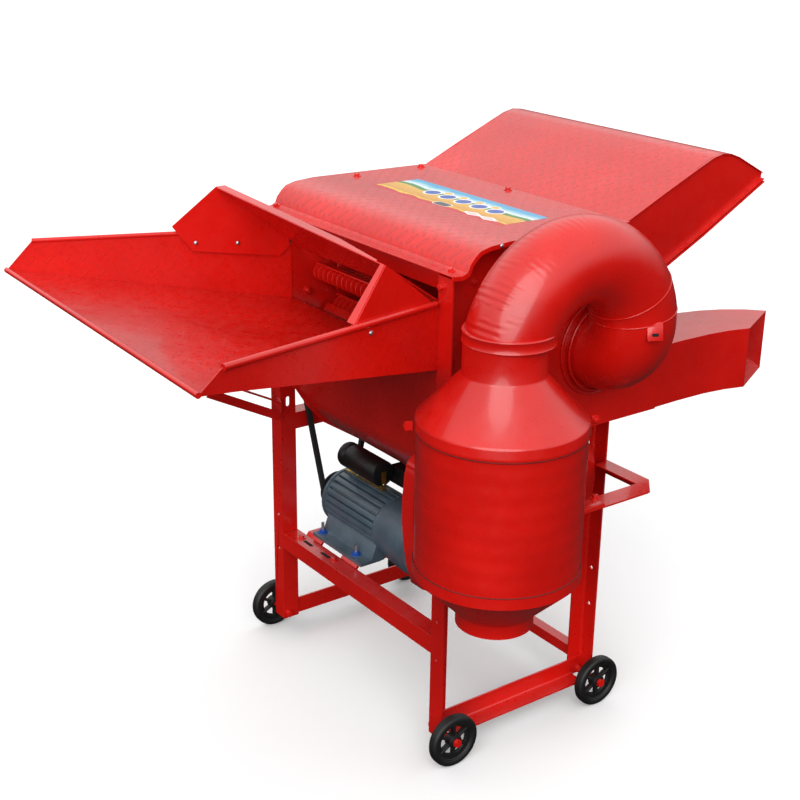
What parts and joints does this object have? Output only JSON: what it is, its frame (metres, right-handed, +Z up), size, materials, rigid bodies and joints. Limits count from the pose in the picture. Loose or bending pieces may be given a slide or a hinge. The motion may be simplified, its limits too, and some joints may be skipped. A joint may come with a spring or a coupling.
{
  "type": "threshing machine",
  "caption": "Threshing machine on a wheeled angle-iron stand: feed tray, toothed drum under a hood, straw chute, grain cylinder with fan bend and chaff duct, motor with belt drive.",
  "frame": {"origin": "centre of the overall box, on the floor plane under the wheels", "axes": "+Z up, -X towards the feed tray, +X towards the straw chute, -Y the side of the grain cylinder"},
  "size_m": [1.4494, 1.0254, 1.189],
  "materials": {
    "red_enamel": "glossy enamel",
    "wheel_black": "semi-gloss black paint on castings",
    "pulley_black": "satin black paint",
    "motor_paint": "satin blue-grey paint",
    "bright_steel": "turned or rolled steel",
    "bearing_iron": "cast, machined face",
    "black_case": "gloss black plastic",
    "strap_plating": "yellow passivated zinc",
    "belt_rubber": "matt rubber"
  },
  "bodies": {
    "machine": {"leg_front_near": "red_enamel", "leg_front_far": "red_enamel", "leg_rear_near": "red_enamel", "leg_rear_far": "red_enamel", "bottom_rail_near": "red_enamel", "bottom_rail_far": "red_enamel", "middle_rail_front": "red_enamel", "middle_rail_rear": "red_enamel", "low_rail_rear": "red_enamel", "upper_rail_far": "red_enamel", "side_plate_near": "red_enamel", "side_plate_far": "red_enamel", "hood": "red_enamel", "front_apron": "red_enamel", "trough": "red_enamel", "rear_panel": "red_enamel", "concave": "bright_steel", "drum_bearing_near": "bearing_iron", "drum_bearing_far": "bearing_iron", "auger_bearing": "bearing_iron", "fan_bearing": "bearing_iron", "thrower_housing": "red_enamel", "main_belt": "belt_rubber", "middle_belt": "belt_rubber", "fan_belt": "belt_rubber", "motor_body": "motor_paint", "motor_shield": "motor_paint", "motor_cowl": "motor_paint", "motor_strip_near": "red_enamel", "motor_strip_far": "red_enamel", "capacitor": "black_case", "capacitor_strap": "strap_plating", "terminal_box": "black_case", "fan_housing": "red_enamel", "chaff_duct": "red_enamel", "cylinder_top": "red_enamel", "cylinder_body": "red_enamel", "cylinder_base": "red_enamel", "bend_upper": "red_enamel", "bend_gore": "red_enamel", "bend_lower": "red_enamel", "cylinder_bracket": "red_enamel", "straw_chute": "red_enamel", "feed_tray": "red_enamel", "feed_guard": "red_enamel", "tray_stay": "red_enamel"},
    "drum_shaft": {"drum": "red_enamel", "drum_pulley_far": "pulley_black", "drum_pulley_near": "pulley_black"},
    "motor_rotor": {"motor_shaft": "bright_steel", "motor_pulley": "pulley_black"},
    "auger_shaft": {"auger": "bright_steel", "auger_pulley": "pulley_black", "thrower_rotor": "bright_steel"},
    "fan_shaft": {"fan_rotor": "bright_steel", "fan_pulley": "pulley_black"},
    "front_near_wheel": {"wheel_front_near": "wheel_black"},
    "front_far_wheel": {"wheel_front_far": "wheel_black"},
    "rear_near_wheel": {"wheel_rear_near": "wheel_black"},
    "rear_far_wheel": {"wheel_rear_far": "wheel_black"}
  },
  "joints": [
    {"name": "drum_spin", "type": "hinge", "parent": "machine", "child": "drum_shaft", "pos_m": [0.01873, 0, 0.89], "axis": [0, 1, 0], "continuous": true},
    {"name": "motor_spin", "type": "hinge", "parent": "machine", "child": "motor_rotor", "pos_m": [0.00673, 0, 0.35], "axis": [0, 1, 0], "continuous": true},
    {"name": "auger_spin", "type": "hinge", "parent": "machine", "child": "auger_shaft", "pos_m": [0.09873, 0, 0.54], "axis": [0, 1, 0], "continuous": true},
    {"name": "fan_spin", "type": "hinge", "parent": "machine", "child": "fan_shaft", "pos_m": [0.16873, 0, 0.866], "axis": [0, 1, 0], "continuous": true},
    {"name": "front_near_roll", "type": "hinge", "parent": "machine", "child": "front_near_wheel", "pos_m": [-0.12927, -0.22255, 0.057], "axis": [0, 1, 0], "continuous": true},
    {"name": "front_far_roll", "type": "hinge", "parent": "machine", "child": "front_far_wheel", "pos_m": [-0.12927, 0.48485, 0.057], "axis": [0, 1, 0], "continuous": true},
    {"name": "rear_near_roll", "type": "hinge", "parent": "machine", "child": "rear_near_wheel", "pos_m": [0.27073, -0.22255, 0.057], "axis": [0, 1, 0], "continuous": true},
    {"name": "rear_far_roll", "type": "hinge", "parent": "machine", "child": "rear_far_wheel", "pos_m": [0.27073, 0.48485, 0.057], "axis": [0, 1, 0], "continuous": true}
  ],
  "couplings": [
    {"joint": "motor_spin", "follows": "drum_spin", "ratio": 3.935},
    {"joint": "auger_spin", "follows": "drum_spin", "ratio": 0.784},
    {"joint": "fan_spin", "follows": "drum_spin", "ratio": 2.746}
  ]
}
